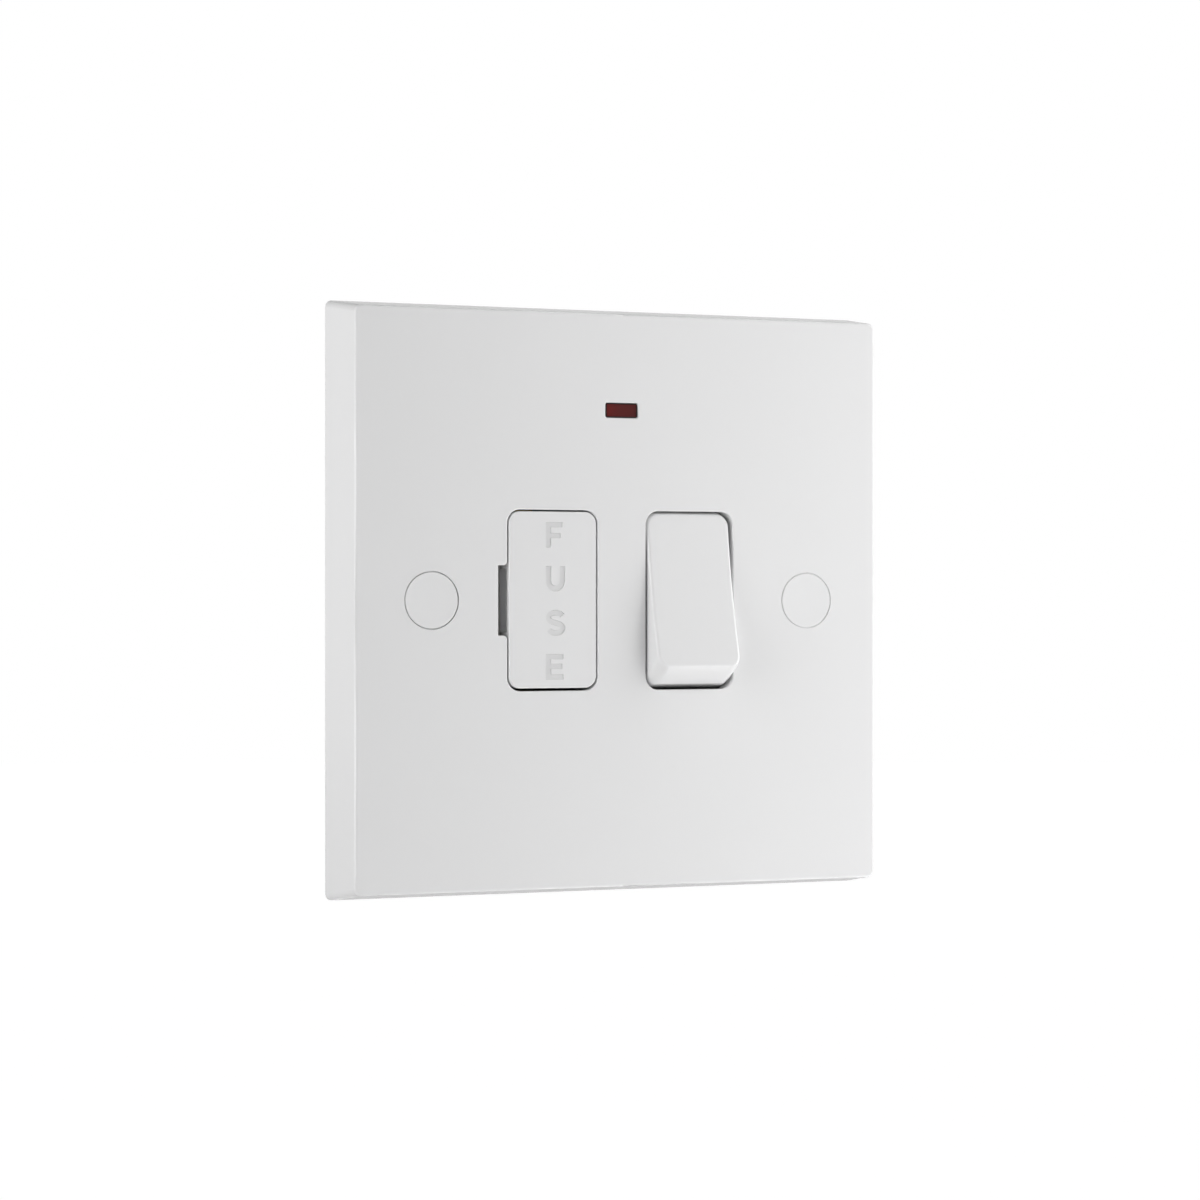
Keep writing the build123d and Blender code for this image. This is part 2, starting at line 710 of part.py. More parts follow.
def make_rear_housing():
    at = Pos(module_x, 0)
    plan = RectangleRounded(2 * housing_half_w, 2 * housing_half, housing_corner)
    tray = slab(at * plan, shelf_front, housing_back)
    tray = fillet(tray.faces().sort_by(Axis.Y)[-1].edges(), housing_edge)
    tower = Rectangle(2 * housing_half_w, 2 * (well_half + partition))
    housing = tray + slab(at * tower, inside, shelf_front)
    for x, z in ear_places():
        inward = -1 if x > module_x else 1
        root = x + inward * (ear_out + housing_wall / 2)
        ear = Pos(x, z) * Circle(ear_r)
        ear += between(*sorted((x, root)), z - ear_r, z + ear_r)
        housing += slab(ear, ear_front, ear_front + ear_thick)
        hole = Pos(x, z) * Circle(joint_screw_r + 2 * joint_screw_fit)
        housing -= slab(hole, ear_front, ear_front + ear_thick)
        wall_x = x + inward * ear_out
        web = outline(
            (wall_x, ear_front + ear_thick),
            (wall_x - inward * gusset_reach, ear_front + ear_thick),
            (wall_x, ear_front + ear_thick + gusset_back),
        )
        for edge in (z - ear_r, z + ear_r - gusset):
            housing += column(web, edge, edge + gusset)

    # shallow panels in the back, one each side of the earth strap
    panel_in = earth_strap_w / 2 + panel_margin
    panel_out = housing_half_w - panel_margin
    panel = RectangleRounded(panel_out - panel_in, 2 * (well_half - panel_margin), panel_corner)
    for side in (-1, 1):
        place = Pos(module_x + side * (panel_in + panel_out) / 2, 0)
        housing -= slab(place * panel, housing_back - panel_depth, housing_back)

    # wells behind the two openings
    for x in (fuse_x, rocker_x):
        well = RectangleRounded(2 * well_half_w, 2 * well_half, well_corner)
        housing -= slab(Pos(x, 0) * well, inside, floor_y)

    # bearings for the rocker's pins, open to the front
    deep = rocker_w / 2 + pin_length + pin_gap
    for side in (-1, 1):
        left, right = sorted((rocker_x, rocker_x + side * deep))
        housing -= slab(between(left, right, -bearing_r, bearing_r), inside, pivot_y)
        housing -= bar(Pos(pivot_y, 0) * Circle(bearing_r), left, right)

    # terminal pockets, open to the back and at the ends, with cored webs between them
    pocket_w = terminal_w + 2 * terminal_gap
    for row in (-1, 1):
        z0, z1 = sorted((row * (well_half + partition), row * (housing_half + housing_lip)))
        for x in (live_column, module_x, neutral_column):
            pocket = between(x - pocket_w / 2, x + pocket_w / 2, z0, z1)
            housing -= slab(pocket, block_front, housing_back)
        core = Rectangle(terminal_pitch - pocket_w - 2 * core_wall, terminal_length - core_wall)
        for side in (-1, 1):
            place = Pos(module_x + side * terminal_pitch / 2, row * terminal_z)
            housing -= slab(place * core, housing_back - core_depth, housing_back)

    # channels for the straps, the upper clip's tail and the earth strap
    for plan in (supply_live_strap(), supply_neutral_strap(), load_neutral_strap(), live_link()):
        housing -= slab(offset(plan, strap_gap), strap_front - strap_gap, floor_y)
    housing -= slab(offset(upper_tail(), strap_gap), clip_base_front, block_front)
    half = earth_strap_w / 2 + strap_gap
    groove = between(module_x - half, module_x + half, -terminal_in, terminal_in)
    housing -= slab(groove, earth_front, housing_back)
    for row in (-1, 1):
        z0, z1 = sorted((row * (terminal_in - strip - strap_gap), row * terminal_in))
        leg = between(module_x - half, module_x + half, z0, z1)
        housing -= slab(leg, earth_front + strip - earth_leg - strap_gap, earth_front)

    # pedestals under the clips and rests for the carrier's cheeks
    for side in (-1, 1):
        pad = Pos(fuse_x, side * clip_z) * Rectangle(2 * (fuse_r + strip), clip_w)
        housing += slab(pad, block_front, floor_y)
        rest = Pos(fuse_x + side * (well_half_w - cheek_wall / 2), 0) * Rectangle(cheek_wall, 2 * jaw_z)
        housing += slab(rest, cheek_back + cheek_rest, floor_y)

    # notches that let the neon's leads into the load terminals' pockets
    for x in (live_column, neutral_column):
        lead_x = lead_rest(x)[0]
        notch = between(lead_x - 2 * lead_r, lead_x + 2 * lead_r, terminal_out - lead_r, housing_half)
        housing -= slab(notch, shelf_front, block_front)
    return housing


# Off at rest: the rocker's top is in, and the contacts' upper arms are lifted
rocker_place = Pos(rocker_x, pivot_y, 0) * Rot(-rocker_tilt, 0, 0)
live_place = Pos(pole_live_x, fulcrum_y, 0) * Rot(half_swing, 0, 0)
neutral_place = Pos(pole_neutral_x, fulcrum_y, 0) * Rot(half_swing, 0, 0)

columns = (live_column, module_x, neutral_column)
neon_lead_live, neon_lead_neutral = make_neon_leads()
nodes = {
    "faceplate": make_faceplate(),
    "screw_cap_left": make_screw_cap(-1),
    "screw_cap_right": make_screw_cap(1),
    "neon_lens": make_neon_lens(),
    "neon_lamp": make_neon_lamp(),
    "neon_lead_live": neon_lead_live,
    "neon_lead_neutral": neon_lead_neutral,
    "neon_resistor": make_neon_resistor(),
    "rear_housing": make_rear_housing(),
    "fuse_carrier": make_fuse_carrier(),
    "fuse_barrel": make_fuse_barrel(),
    "fuse_cap_upper": make_fuse_cap(1),
    "fuse_cap_lower": make_fuse_cap(-1),
    "fuse_clip_upper": make_fuse_clip_upper(),
    "fuse_clip_lower": make_fuse_clip_lower(),
    "rocker": rocker_place * rocker_solid(),
    "plunger_live": rocker_place * plunger_solid(-1),
    "plunger_neutral": rocker_place * plunger_solid(1),
    "plunger_spring_live": rocker_place * spring_solid(-1),
    "plunger_spring_neutral": rocker_place * spring_solid(1),
    "tilting_contact_live": live_place * contact_solid(),
    "tilting_contact_neutral": neutral_place * contact_solid(),
    "tilting_tip_live": live_place * contact_tip_solid(),
    "tilting_tip_neutral": neutral_place * contact_tip_solid(),
    "fixed_tip_live": make_fixed_tip(pole_live_x),
    "fixed_tip_neutral": make_fixed_tip(pole_neutral_x),
    "load_live_terminal": terminal_block(live_column, 1),
    "load_neutral_terminal": terminal_block(neutral_column, 1) + strap(load_neutral_strap()),
    "supply_live_terminal": make_supply_terminal(live_column, pole_live_x, supply_live_strap()),
    "supply_neutral_terminal": make_supply_terminal(neutral_column, pole_neutral_x, supply_neutral_strap()),
    "earth_terminal_upper": terminal_block(module_x, 1),
    "earth_terminal_lower": terminal_block(module_x, -1),
    "earth_strap": make_earth_strap(),
    "terminal_screws": Compound([terminal_screw(x, row).solid() for row in (-1, 1) for x in columns]),
    "joint_screws": Compound([joint_screw(x, z).solid() for x, z in ear_places()]),
}
for name, shape in nodes.items():
    export_step(shape, f"parts/{name}.step")
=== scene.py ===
import json
from math import asin, cos, pi, radians, sin

import bmesh
import bpy
import numpy as np
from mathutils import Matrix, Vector


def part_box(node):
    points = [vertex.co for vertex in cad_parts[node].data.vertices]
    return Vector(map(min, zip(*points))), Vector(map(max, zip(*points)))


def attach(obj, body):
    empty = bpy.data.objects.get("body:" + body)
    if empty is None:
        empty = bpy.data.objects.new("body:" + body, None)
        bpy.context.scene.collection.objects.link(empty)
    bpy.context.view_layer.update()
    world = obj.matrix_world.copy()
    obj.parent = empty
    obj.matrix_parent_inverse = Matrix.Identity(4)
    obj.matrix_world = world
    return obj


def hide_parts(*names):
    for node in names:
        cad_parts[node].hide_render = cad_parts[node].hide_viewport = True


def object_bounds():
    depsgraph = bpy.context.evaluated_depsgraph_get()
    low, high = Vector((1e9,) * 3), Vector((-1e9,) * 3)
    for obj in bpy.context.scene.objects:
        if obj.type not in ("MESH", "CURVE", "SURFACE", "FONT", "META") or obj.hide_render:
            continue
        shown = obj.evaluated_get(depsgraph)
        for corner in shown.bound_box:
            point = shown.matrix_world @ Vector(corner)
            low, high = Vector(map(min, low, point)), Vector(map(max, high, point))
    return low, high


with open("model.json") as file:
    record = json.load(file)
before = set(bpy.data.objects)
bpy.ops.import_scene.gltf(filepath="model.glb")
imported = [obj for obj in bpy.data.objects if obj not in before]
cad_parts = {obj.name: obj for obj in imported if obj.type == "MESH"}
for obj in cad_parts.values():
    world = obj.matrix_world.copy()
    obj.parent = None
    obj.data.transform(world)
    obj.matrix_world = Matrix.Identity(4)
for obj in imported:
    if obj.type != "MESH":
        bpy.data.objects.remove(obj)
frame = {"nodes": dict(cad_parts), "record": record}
cad_low, cad_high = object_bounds()

mm = 0.001

# Camera, as the photograph was taken: level, from the left, in a frame of 1200 by 1200
frame_px = 1200
camera_turn = radians(24.64)
camera_distance = 511.7 * mm
focal_px = 3447.7
axis_px = (597.94, 600.42)
sensor_width = 36.0

# Floor and room: the floor's drop and reach in metres, and how bright they are to light, camera and gloss
world_light = 0.02
floor_drop = 0.26
floor_reach = 6.0
floor_grey = 0.40
floor_glow = 0.96
floor_mirrored = 0.45
room_front = 0.3
room_top = 0.6

# Engraved letters on the fuse carrier; a letter's arm and waist are shares of its width and height
letter_height = 3.6 * mm
letter_stem = 0.80 * mm
letter_bar = 0.67 * mm
letter_depth = 0.16 * mm
letter_skin = 0.02 * mm
letter_draft = 0.03 * mm
letter_left = -12.38 * mm
letter_top = 11.30 * mm
letter_pitch = 6.37 * mm
f_width, f_arm, f_waist = 2.6 * mm, 0.88, 0.47
e_width, e_arm, e_waist = 2.75 * mm, 0.93, 0.52
u_width = 3.0 * mm
s_reach = 1.13 * mm
s_rise = 0.70 * mm
s_start = radians(22)

# The neon's lens: its middle, half its size and the dark frame of painted shade round its edge
lens_middle = (-0.27 * mm, 27.74 * mm)
lens_half = (2.55 * mm, 1.08 * mm)
lens_edge_shade = 0.14 * mm
lens_edge_shade_blend = 0.12 * mm

# Raised marks on the back of the housing, beside the terminals; the shares are of a mark's height and stroke
mark_height = 2.3 * mm
mark_width_share = 0.62
mark_slope_share = 1.25
earth_bars = ((0.5, 0.52), (0.32, 0.26), (0.14, 0.0))
earth_bar_share = 0.7
mark_stroke = 0.42 * mm
mark_raise = 0.2 * mm
mark_z = 16.15 * mm
mark_places = {"N": 13.86 * mm, "L": -14.40 * mm, "earth": 6.35 * mm}

# Screws: terminal screws with a slot, joint screws with a cross
terminal_x = (-14.40 * mm, -0.27 * mm, 13.86 * mm)
terminal_z = 22.78 * mm
terminal_shank = (9.45 * mm, 14.8 * mm)
terminal_head = (2.8 * mm, 2.0 * mm)
terminal_thread = (1.75 * mm, 0.32 * mm, 0.6 * mm)
slot_length = 2.2 * terminal_head[0]
slot_size = (0.9 * mm, 1.0 * mm)
slot_turns = (0.35, -0.9, 1.2, -0.4, 0.75, 0.1)
joint_x = (-23.75 * mm, 23.21 * mm)
joint_z = 14.0 * mm
joint_shank = (-5.4 * mm, 1.6 * mm)
joint_head = (2.6 * mm, 1.9 * mm)
joint_thread = (1.2 * mm, 0.2 * mm, 0.9 * mm)
cross_size = (2.6 * mm, 0.65 * mm, 0.95 * mm)
cross_turns = (0.3, 1.0, -0.5, 0.7)
head_dome = 0.16 * mm
head_round = 0.3 * mm
rod_lap = 0.3 * mm
thread_rows = 12
thread_crease = 60.0

# Snap-in caps: a shallow dish with a rounded rim above a narrow groove, seated a little askew
cap_at = 30.15 * mm
cap_r = 4.05 * mm
cap_round = 0.15 * mm
cap_dish = 0.045 * mm
cap_groove_r = 4.19 * mm
cap_thick = 1.1 * mm
cap_skirt_r = 3.70 * mm
cap_skirt_wall = 0.8 * mm
cap_skirt_back = 2.9 * mm
cap_grooves = (0.45 * mm, 0.20 * mm)
cap_leans = ((0.003, -0.004), (-0.003, 0.003))


def node_material(name):
    """A new material, its node tree and its surface shader."""
    material = bpy.data.materials.new(name)
    material.use_nodes = True
    tree = material.node_tree
    return material, tree, tree.nodes["Principled BSDF"]


def link(tree, source, target):
    tree.links.new(source, target)


def noise(tree, coords, scale, detail=2.0, stretch=None):
    """A noise value from 0 to 1; scale is in waves to the metre, and stretch its share along each axis."""
    if stretch:
        mapping = tree.nodes.new("ShaderNodeMapping")
        mapping.inputs["Scale"].default_value = stretch
        link(tree, coords, mapping.inputs["Vector"])
        coords = mapping.outputs["Vector"]
    texture = tree.nodes.new("ShaderNodeTexNoise")
    texture.inputs["Scale"].default_value = scale
    texture.inputs["Detail"].default_value = detail
    link(tree, coords, texture.inputs["Vector"])
    return texture.outputs["Fac"]


def arithmetic(tree, operation, first, second):
    """One arithmetic step on two values, each a socket or a number."""
    node = tree.nodes.new("ShaderNodeMath")
    node.operation = operation
    for value, socket in ((first, node.inputs[0]), (second, node.inputs[1])):
        if isinstance(value, float):
            socket.default_value = value
        else:
            link(tree, value, socket)
    return node.outputs[0]


def fade(tree, value, start, end, first, last, course="SMOOTHSTEP"):
    """A change from the first result to the last while a value goes from start to end."""
    node = tree.nodes.new("ShaderNodeMapRange")
    node.interpolation_type = course
    node.inputs["From Min"].default_value = start
    node.inputs["From Max"].default_value = end
    node.inputs["To Min"].default_value = first
    node.inputs["To Max"].default_value = last
    link(tree, value, node.inputs["Value"])
    return node.outputs["Result"]


def spread(tree, value, low, high):
    """A noise value's middle, from 0.3 to 0.7, spread over the range from low to high."""
    return fade(tree, value, 0.3, 0.7, low, high, "LINEAR")


def tint(tree, value, first, second):
    """A colour between two by a value from 0 to 1; each colour is a socket or its red, green and blue."""
    node = tree.nodes.new("ShaderNodeMix")
    node.data_type = "RGBA"
    for color, socket in ((first, node.inputs[6]), (second, node.inputs[7])):
        if isinstance(color, tuple):
            socket.default_value = (*color, 1.0)
        else:
            link(tree, color, socket)
    link(tree, value, node.inputs["Factor"])
    return node.outputs[2]


def bump(tree, height, depth, under=None):
    """A relief as deep as depth, in metres, on top of another relief if one is given."""
    node = tree.nodes.new("ShaderNodeBump")
    node.inputs["Strength"].default_value = 1.0
    node.inputs["Distance"].default_value = depth
    link(tree, height, node.inputs["Height"])
    if under:
        link(tree, under, node.inputs["Normal"])
    return node.outputs["Normal"]


def object_coords(tree):
    return tree.nodes.new("ShaderNodeTexCoord").outputs["Object"]


def moulded_plastic(name, color, change, rough, grain, grain_depth, sink_depth):
    """Moulded plastic: slow shifts of colour, fine grain from the mould, slight sinking behind thick places."""
    material, tree, shader = node_material(name)
    coords = object_coords(tree)
    slow = noise(tree, coords, 55.0)
    fine = noise(tree, coords, grain, detail=3.0)
    dark = tuple(c * (1.0 - change) for c in color)
    link(tree, tint(tree, spread(tree, slow, 0.0, 1.0), dark, color), shader.inputs["Base Color"])
    haze = noise(tree, coords, 5200.0)
    link(tree, spread(tree, haze, rough - 0.015, rough + 0.015), shader.inputs["Roughness"])
    sunk = bump(tree, noise(tree, coords, 60.0, detail=1.0), sink_depth)
    link(tree, bump(tree, fine, grain_depth, sunk), shader.inputs["Normal"])
    return material


def white_plastic():
    white = (0.80, 0.80, 0.803)
    material = moulded_plastic("white_plastic", white, 0.006, 0.20, 9000.0, 0.0012 * mm, 0.006 * mm)
    shader = material.node_tree.nodes["Principled BSDF"]
    shader.inputs["IOR"].default_value = 1.5
    return material


# Darker than the plate's white: painted shade for the floors of the engraved letters.
def letter_floor_shade_plastic():
    return moulded_plastic("letter_floor_shade_plastic", (0.72, 0.72, 0.722), 0.02, 0.45, 7000.0, 0.004 * mm, 0.004 * mm)


def housing_plastic():
    return moulded_plastic("housing_plastic", (0.55, 0.55, 0.53), 0.05, 0.52, 4200.0, 0.006 * mm, 0.02 * mm)


def plunger_plastic():
    return moulded_plastic("plunger_plastic", (0.05, 0.05, 0.055), 0.2, 0.4, 5000.0, 0.004 * mm, 0.01 * mm)


def resistor_lacquer():
    return moulded_plastic("resistor_lacquer", (0.55, 0.40, 0.22), 0.12, 0.35, 3000.0, 0.008 * mm, 0.02 * mm)


def fuse_ceramic():
    return moulded_plastic("fuse_ceramic", (0.78, 0.74, 0.66), 0.06, 0.6, 6000.0, 0.006 * mm, 0.01 * mm)


def rolled_metal(name, color, dull, rough, along, depth):
    """Bright metal with rolling or turning lines along one axis and cloudy tarnish."""
    material, tree, shader = node_material(name)
    coords = object_coords(tree)
    lines = noise(tree, coords, 1400.0, detail=4.0, stretch=along)
    cloud = noise(tree, coords, 260.0, detail=3.0)
    link(tree, tint(tree, spread(tree, cloud, 0.0, 1.0), dull, color), shader.inputs["Base Color"])
    link(tree, spread(tree, cloud, rough + 0.08, rough - 0.04), shader.inputs["Roughness"])
    link(tree, bump(tree, lines, depth), shader.inputs["Normal"])
    shader.inputs["Metallic"].default_value = 1.0
    return material


def brass():
    bright, dull = (0.83, 0.62, 0.28), (0.70, 0.49, 0.21)
    return rolled_metal("brass", bright, dull, 0.27, (1.0, 1.0, 0.05), 0.003 * mm)


def plated_steel():
    bright, dull = (0.74, 0.74, 0.72), (0.60, 0.60, 0.59)
    return rolled_metal("plated_steel", bright, dull, 0.26, (1.0, 0.2, 1.0), 0.002 * mm)


def contact_silver():
    bright, dull = (0.86, 0.85, 0.81), (0.70, 0.68, 0.63)
    return rolled_metal("contact_silver", bright, dull, 0.3, (1.0, 1.0, 1.0), 0.002 * mm)


def fuse_nickel():
    bright, dull = (0.79, 0.77, 0.73), (0.68, 0.66, 0.62)
    return rolled_metal("fuse_nickel", bright, dull, 0.2, (1.0, 1.0, 0.1), 0.002 * mm)


def tinned_wire():
    bright, dull = (0.78, 0.76, 0.72), (0.60, 0.57, 0.53)
    return rolled_metal("tinned_wire", bright, dull, 0.3, (0.2, 0.2, 1.0), 0.002 * mm)


def lens_red():
    """Clear dark red plastic, redder to the left, duller to the right, with a faint cloud and a dark frame of
    painted shade along its edge.
    """
    material, tree, shader = node_material("lens_red")
    coords = object_coords(tree)
    split = tree.nodes.new("ShaderNodeSeparateXYZ")
    link(tree, coords, split.inputs[0])
    left, right = lens_middle[0] - lens_half[0], lens_middle[0] + lens_half[0]
    across = fade(tree, split.outputs["X"], left, right, 0.25, 0.75)
    cloud = spread(tree, noise(tree, coords, 420.0), -0.25, 0.25)
    share = arithmetic(tree, "ADD", across, cloud)
    red = tint(tree, share, (0.160, 0.009, 0.008), (0.100, 0.014, 0.013))
    # A dark frame along the lens's edge: painted shade.
    edge_shades = []
    for axis, middle, half in zip("XZ", lens_middle, lens_half):
        off = arithmetic(tree, "ABSOLUTE", arithmetic(tree, "SUBTRACT", split.outputs[axis], middle), 0.0)
        edge_shades.append(fade(tree, off, half - lens_edge_shade - lens_edge_shade_blend, half - lens_edge_shade, 0.0, 1.0))
    rim = arithmetic(tree, "MAXIMUM", *edge_shades)
    link(tree, tint(tree, rim, red, (0.015, 0.001, 0.001)), shader.inputs["Base Color"])
    link(tree, spread(tree, noise(tree, coords, 900.0), 0.10, 0.16), shader.inputs["Roughness"])
    link(tree, bump(tree, noise(tree, coords, 700.0, detail=1.0), 0.004 * mm), shader.inputs["Normal"])
    shader.inputs["IOR"].default_value = 1.49
    shader.inputs["Transmission Weight"].default_value = 0.25
    return material


def lamp_glass():
    """Thin clear glass with faint waves along the tube."""
    material, tree, shader = node_material("lamp_glass")
    coords = object_coords(tree)
    waves = noise(tree, coords, 300.0, stretch=(0.2, 1.0, 1.0))
    link(tree, tint(tree, waves, (0.90, 0.86, 0.80), (0.97, 0.95, 0.92)), shader.inputs["Base Color"])
    link(tree, spread(tree, waves, 0.02, 0.06), shader.inputs["Roughness"])
    link(tree, bump(tree, waves, 0.01 * mm), shader.inputs["Normal"])
    shader.inputs["IOR"].default_value = 1.47
    shader.inputs["Transmission Weight"].default_value = 1.0
    return material


def dress(piece, material):
    """Gives a piece one material on all its faces."""
    piece.data.materials.clear()
    piece.data.materials.append(material)


def new_piece(name, mesh, body, slot, material, *nodes):
    """A finished mesh as a piece on a body, in place of the named nodes."""
    piece = bpy.data.objects.new(name, mesh)
    bpy.context.scene.collection.objects.link(piece)
    dress(piece, material)
    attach(piece, body)
    if nodes:
        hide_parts(*nodes)
    return piece


def smooth(mesh, angle=35.0):
    """Rounds the shading of a mesh apart from its edges that turn by more than the angle."""
    mesh.shade_smooth()
    mesh.set_sharp_from_angle(angle=radians(angle))


def merged_copy(node):
    """A node's mesh with its loose triangles joined along their edges."""
    mesh = frame["nodes"][node].data.copy()
    if mesh.has_custom_normals:
        mesh.attributes.remove(mesh.attributes["custom_normal"])
    shell = bmesh.new()
    shell.from_mesh(mesh)
    bmesh.ops.remove_doubles(shell, verts=shell.verts, dist=1e-7)
    shell.to_mesh(mesh)
    shell.free()
    return mesh


def prism_data(outline, near, far, widen=0.0):
    """Points and faces of a solid between two depths over an outline in X and Z, its near end widened."""
    ahead = np.roll(outline, -1, axis=0) - outline
    ahead /= np.linalg.norm(ahead, axis=1, keepdims=True)
    behind = np.roll(ahead, 1, axis=0)
    normal = np.stack([ahead[:, 1] + behind[:, 1], -ahead[:, 0] - behind[:, 0]], axis=1)
    normal /= 1.0 + np.sum(ahead * behind, axis=1, keepdims=True)
    count = len(outline)
    wide = outline + widen * normal
    points = np.empty((2 * count, 3))
    points[:count] = np.column_stack([wide[:, 0], np.full(count, near), wide[:, 1]])
    points[count:] = np.column_stack([outline[:, 0], np.full(count, far), outline[:, 1]])
    first = np.arange(count)
    second = np.roll(first, -1)
    sides = np.stack([first, second, second + count, first + count], axis=1).tolist()
    return points, sides + [first[::-1].tolist(), (first + count).tolist()]


def grid_data(points):
    """Points and faces of a grid whose last column joins its first."""
    rows, columns = points.shape[:2]
    index = np.arange(rows * columns).reshape(rows, columns)
    beside = np.roll(index, -1, axis=1)
    quads = np.stack([index[:-1], beside[:-1], beside[1:], index[1:]], axis=-1)
    return points.reshape(-1, 3), quads.reshape(-1, 4).tolist()


def joined(name, parts):
    """One mesh of several closed solids, each given as points and faces, with normals outwards."""
    points, faces, start = [], [], 0
    for corners, sides in parts:
        points.append(corners)
        faces += [[start + corner for corner in side] for side in sides]
        start += len(corners)
    mesh = bpy.data.meshes.new(name)
    mesh.from_pydata(np.concatenate(points).tolist(), [], faces)
    shell = bmesh.new()
    shell.from_mesh(mesh)
    bmesh.ops.remove_doubles(shell, verts=shell.verts, dist=1e-9)
    bmesh.ops.recalc_face_normals(shell, faces=shell.faces)
    shell.to_mesh(mesh)
    shell.free()
    return mesh


def prism(name, outline, near, far, widen):
    """A mesh of one such solid."""
    return joined(name, [prism_data(outline, near, far, widen)])


def barred_letter(width, arm_share, waist_share, foot):
    """The outline of an F, or of an E where it has a foot: a stem and its bars, counter-clockwise."""
    arm = arm_share * width
    waist = waist_share * letter_height
    top = letter_height
    start = [(0, 0), (letter_stem, 0)]
    if foot:
        start = [(0, 0), (width, 0), (width, letter_bar), (letter_stem, letter_bar)]
    rest = [
        (letter_stem, waist - letter_bar / 2),
        (arm, waist - letter_bar / 2),
        (arm, waist + letter_bar / 2),
        (letter_stem, waist + letter_bar / 2),
        (letter_stem, top - letter_bar),
        (width, top - letter_bar),
        (width, top),
        (0, top),
    ]
    return np.array(start + rest)


def letter_u():
    """The outline of a U: two stems on a half round of the letter's width."""
    outer = u_width / 2
    inner = outer - letter_stem
    turn = np.linspace(pi, 2 * pi, 19)
    bowl = np.column_stack([outer + outer * np.cos(turn), outer + outer * np.sin(turn)])
    back = turn[::-1]
    hollow = np.column_stack([outer + inner * np.cos(back), outer + inner * np.sin(back)])
    rise = np.array([(u_width, letter_height), (u_width - letter_stem, letter_height)])
    fall = np.array([(letter_stem, letter_height), (0, letter_height)])
    return np.concatenate([bowl, rise, hollow, fall])


def letter_s():
    """The outline of an S: an even stroke along two bowls, parts of ellipses, and their common tangent."""
    lift = (letter_height - letter_bar) / 2 - s_rise
    turn = np.linspace(s_start, pi + asin(s_rise / lift), 32)
    upper = np.column_stack([s_reach * np.cos(turn), lift + s_rise * np.sin(turn)])
    ahead = np.column_stack([-s_reach * np.sin(turn), s_rise * np.cos(turn)])
    ahead /= np.linalg.norm(ahead, axis=1, keepdims=True)
    line = np.concatenate([upper, -upper[::-1]])
    ahead = np.concatenate([ahead, ahead[::-1]])
    side = np.column_stack([ahead[:, 1], -ahead[:, 0]]) * (letter_stem + letter_bar) / 4
    outline = np.concatenate([line + side, (line - side)[::-1]])
    return outline + (s_reach + letter_stem / 2, letter_height / 2)


def cut_away(mesh, cutters):
    """A mesh less the solids of several others."""
    body = bpy.data.objects.new("cut_body", mesh)
    bpy.context.scene.collection.objects.link(body)
    tools = []
    for cutter in cutters:
        tool = bpy.data.objects.new("cut_tool", cutter)
        bpy.context.scene.collection.objects.link(tool)
        step = body.modifiers.new("cut", "BOOLEAN")
        step.operation = "DIFFERENCE"
        step.solver = "EXACT"
        step.object = tool
        tools.append(tool)
    depsgraph = bpy.context.evaluated_depsgraph_get()
    result = bpy.data.meshes.new_from_object(body.evaluated_get(depsgraph))
    for thing in [body, *tools]:
        bpy.data.objects.remove(thing)
    return result


def engraved_carrier(material):
    """The fuse carrier with its word cut into the face, one letter below the other, each letter's floor covered
    by a thin darker sheet of painted shade.
    """
    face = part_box("fuse_carrier")[0].y
    near = face - letter_depth
    far = face + letter_depth
    first = barred_letter(f_width, f_arm, f_waist, False)
    last = barred_letter(e_width, e_arm, e_waist, True)
    cutters = []
    for row, letter in enumerate((first, letter_u(), letter_s(), last)):
        outline = letter + (letter_left, letter_top - letter_height - row * letter_pitch)
        cutters.append(prism("letter_cut", outline, near, far, 2 * letter_draft))
        # A thin darker sheet at each letter's floor: painted shade in the engraving.
        shade_sheet = prism("letter_painted_shade", outline, far - letter_skin, far + letter_skin, 0.0)
        new_piece(f"letter_painted_shade_{row}", shade_sheet, "carrier", "plate_plastic", finishes["letter"])
    mesh = cut_away(merged_copy("fuse_carrier"), cutters)
    smooth(mesh)
    piece = new_piece("fuse_carrier_engraved", mesh, "carrier", "plate_plastic", material, "fuse_carrier")
    flatten = piece.modifiers.new("flat_faces", "WEIGHTED_NORMAL")
    flatten.weight = 100
    flatten.keep_sharp = True


def turned(profile, x, z, lean=(0.0, 0.0), steps=96):
    """A turned surface: each radius and depth of a profile carried round an axis along Y, tipped a little."""
    turn = np.linspace(0, 2 * pi, steps, endpoint=False)
    across = profile[:, :1] * np.cos(turn)
    up = profile[:, :1] * np.sin(turn)
    points = np.empty((len(profile), steps, 3))
    points[..., 0] = x + across
    points[..., 1] = profile[:, 1:] + lean[0] * across + lean[1] * up
    points[..., 2] = z + up
    return grid_data(points)


def threaded(x, z, ends, thread, steps=40):
    """A threaded rod along Y: its radius dips from the crest as the cosine of turns so far less the angle."""
    crest, depth, pitch = thread
    rows = int(thread_rows * (ends[1] - ends[0]) / pitch)
    along = np.linspace(*ends, rows)[:, None]
    turn = np.linspace(0, 2 * pi, steps, endpoint=False)
    radius = crest - depth * (0.5 - 0.5 * np.cos(2 * pi * along / pitch - turn))
    radius[[0, -1]] = 0.0
    along[[0, -1]] = along[[1, -2]]
    points = np.empty((rows, steps, 3))
    points[..., 0] = x + radius * np.cos(turn)
    points[..., 1] = along
    points[..., 2] = z + radius * np.sin(turn)
    return grid_data(points)


def head_profile(head, under):
    """A screw's head from under its rim to its top: straight, a quarter round, then a low dome."""
    radius, height = head
    bend = np.linspace(0, pi / 2, 8)
    flat = radius - head_round
    edge = under + height - head_dome
    rim = np.column_stack([flat + head_round * np.cos(bend), edge - head_round * (1 - np.sin(bend))])
    inward = np.linspace(flat, 0, 10)[1:]
    dome = np.column_stack([inward, under + height - head_dome * (inward / flat) ** 2])
    return np.concatenate([[(0.0, under), (radius, under)], rim, dome])


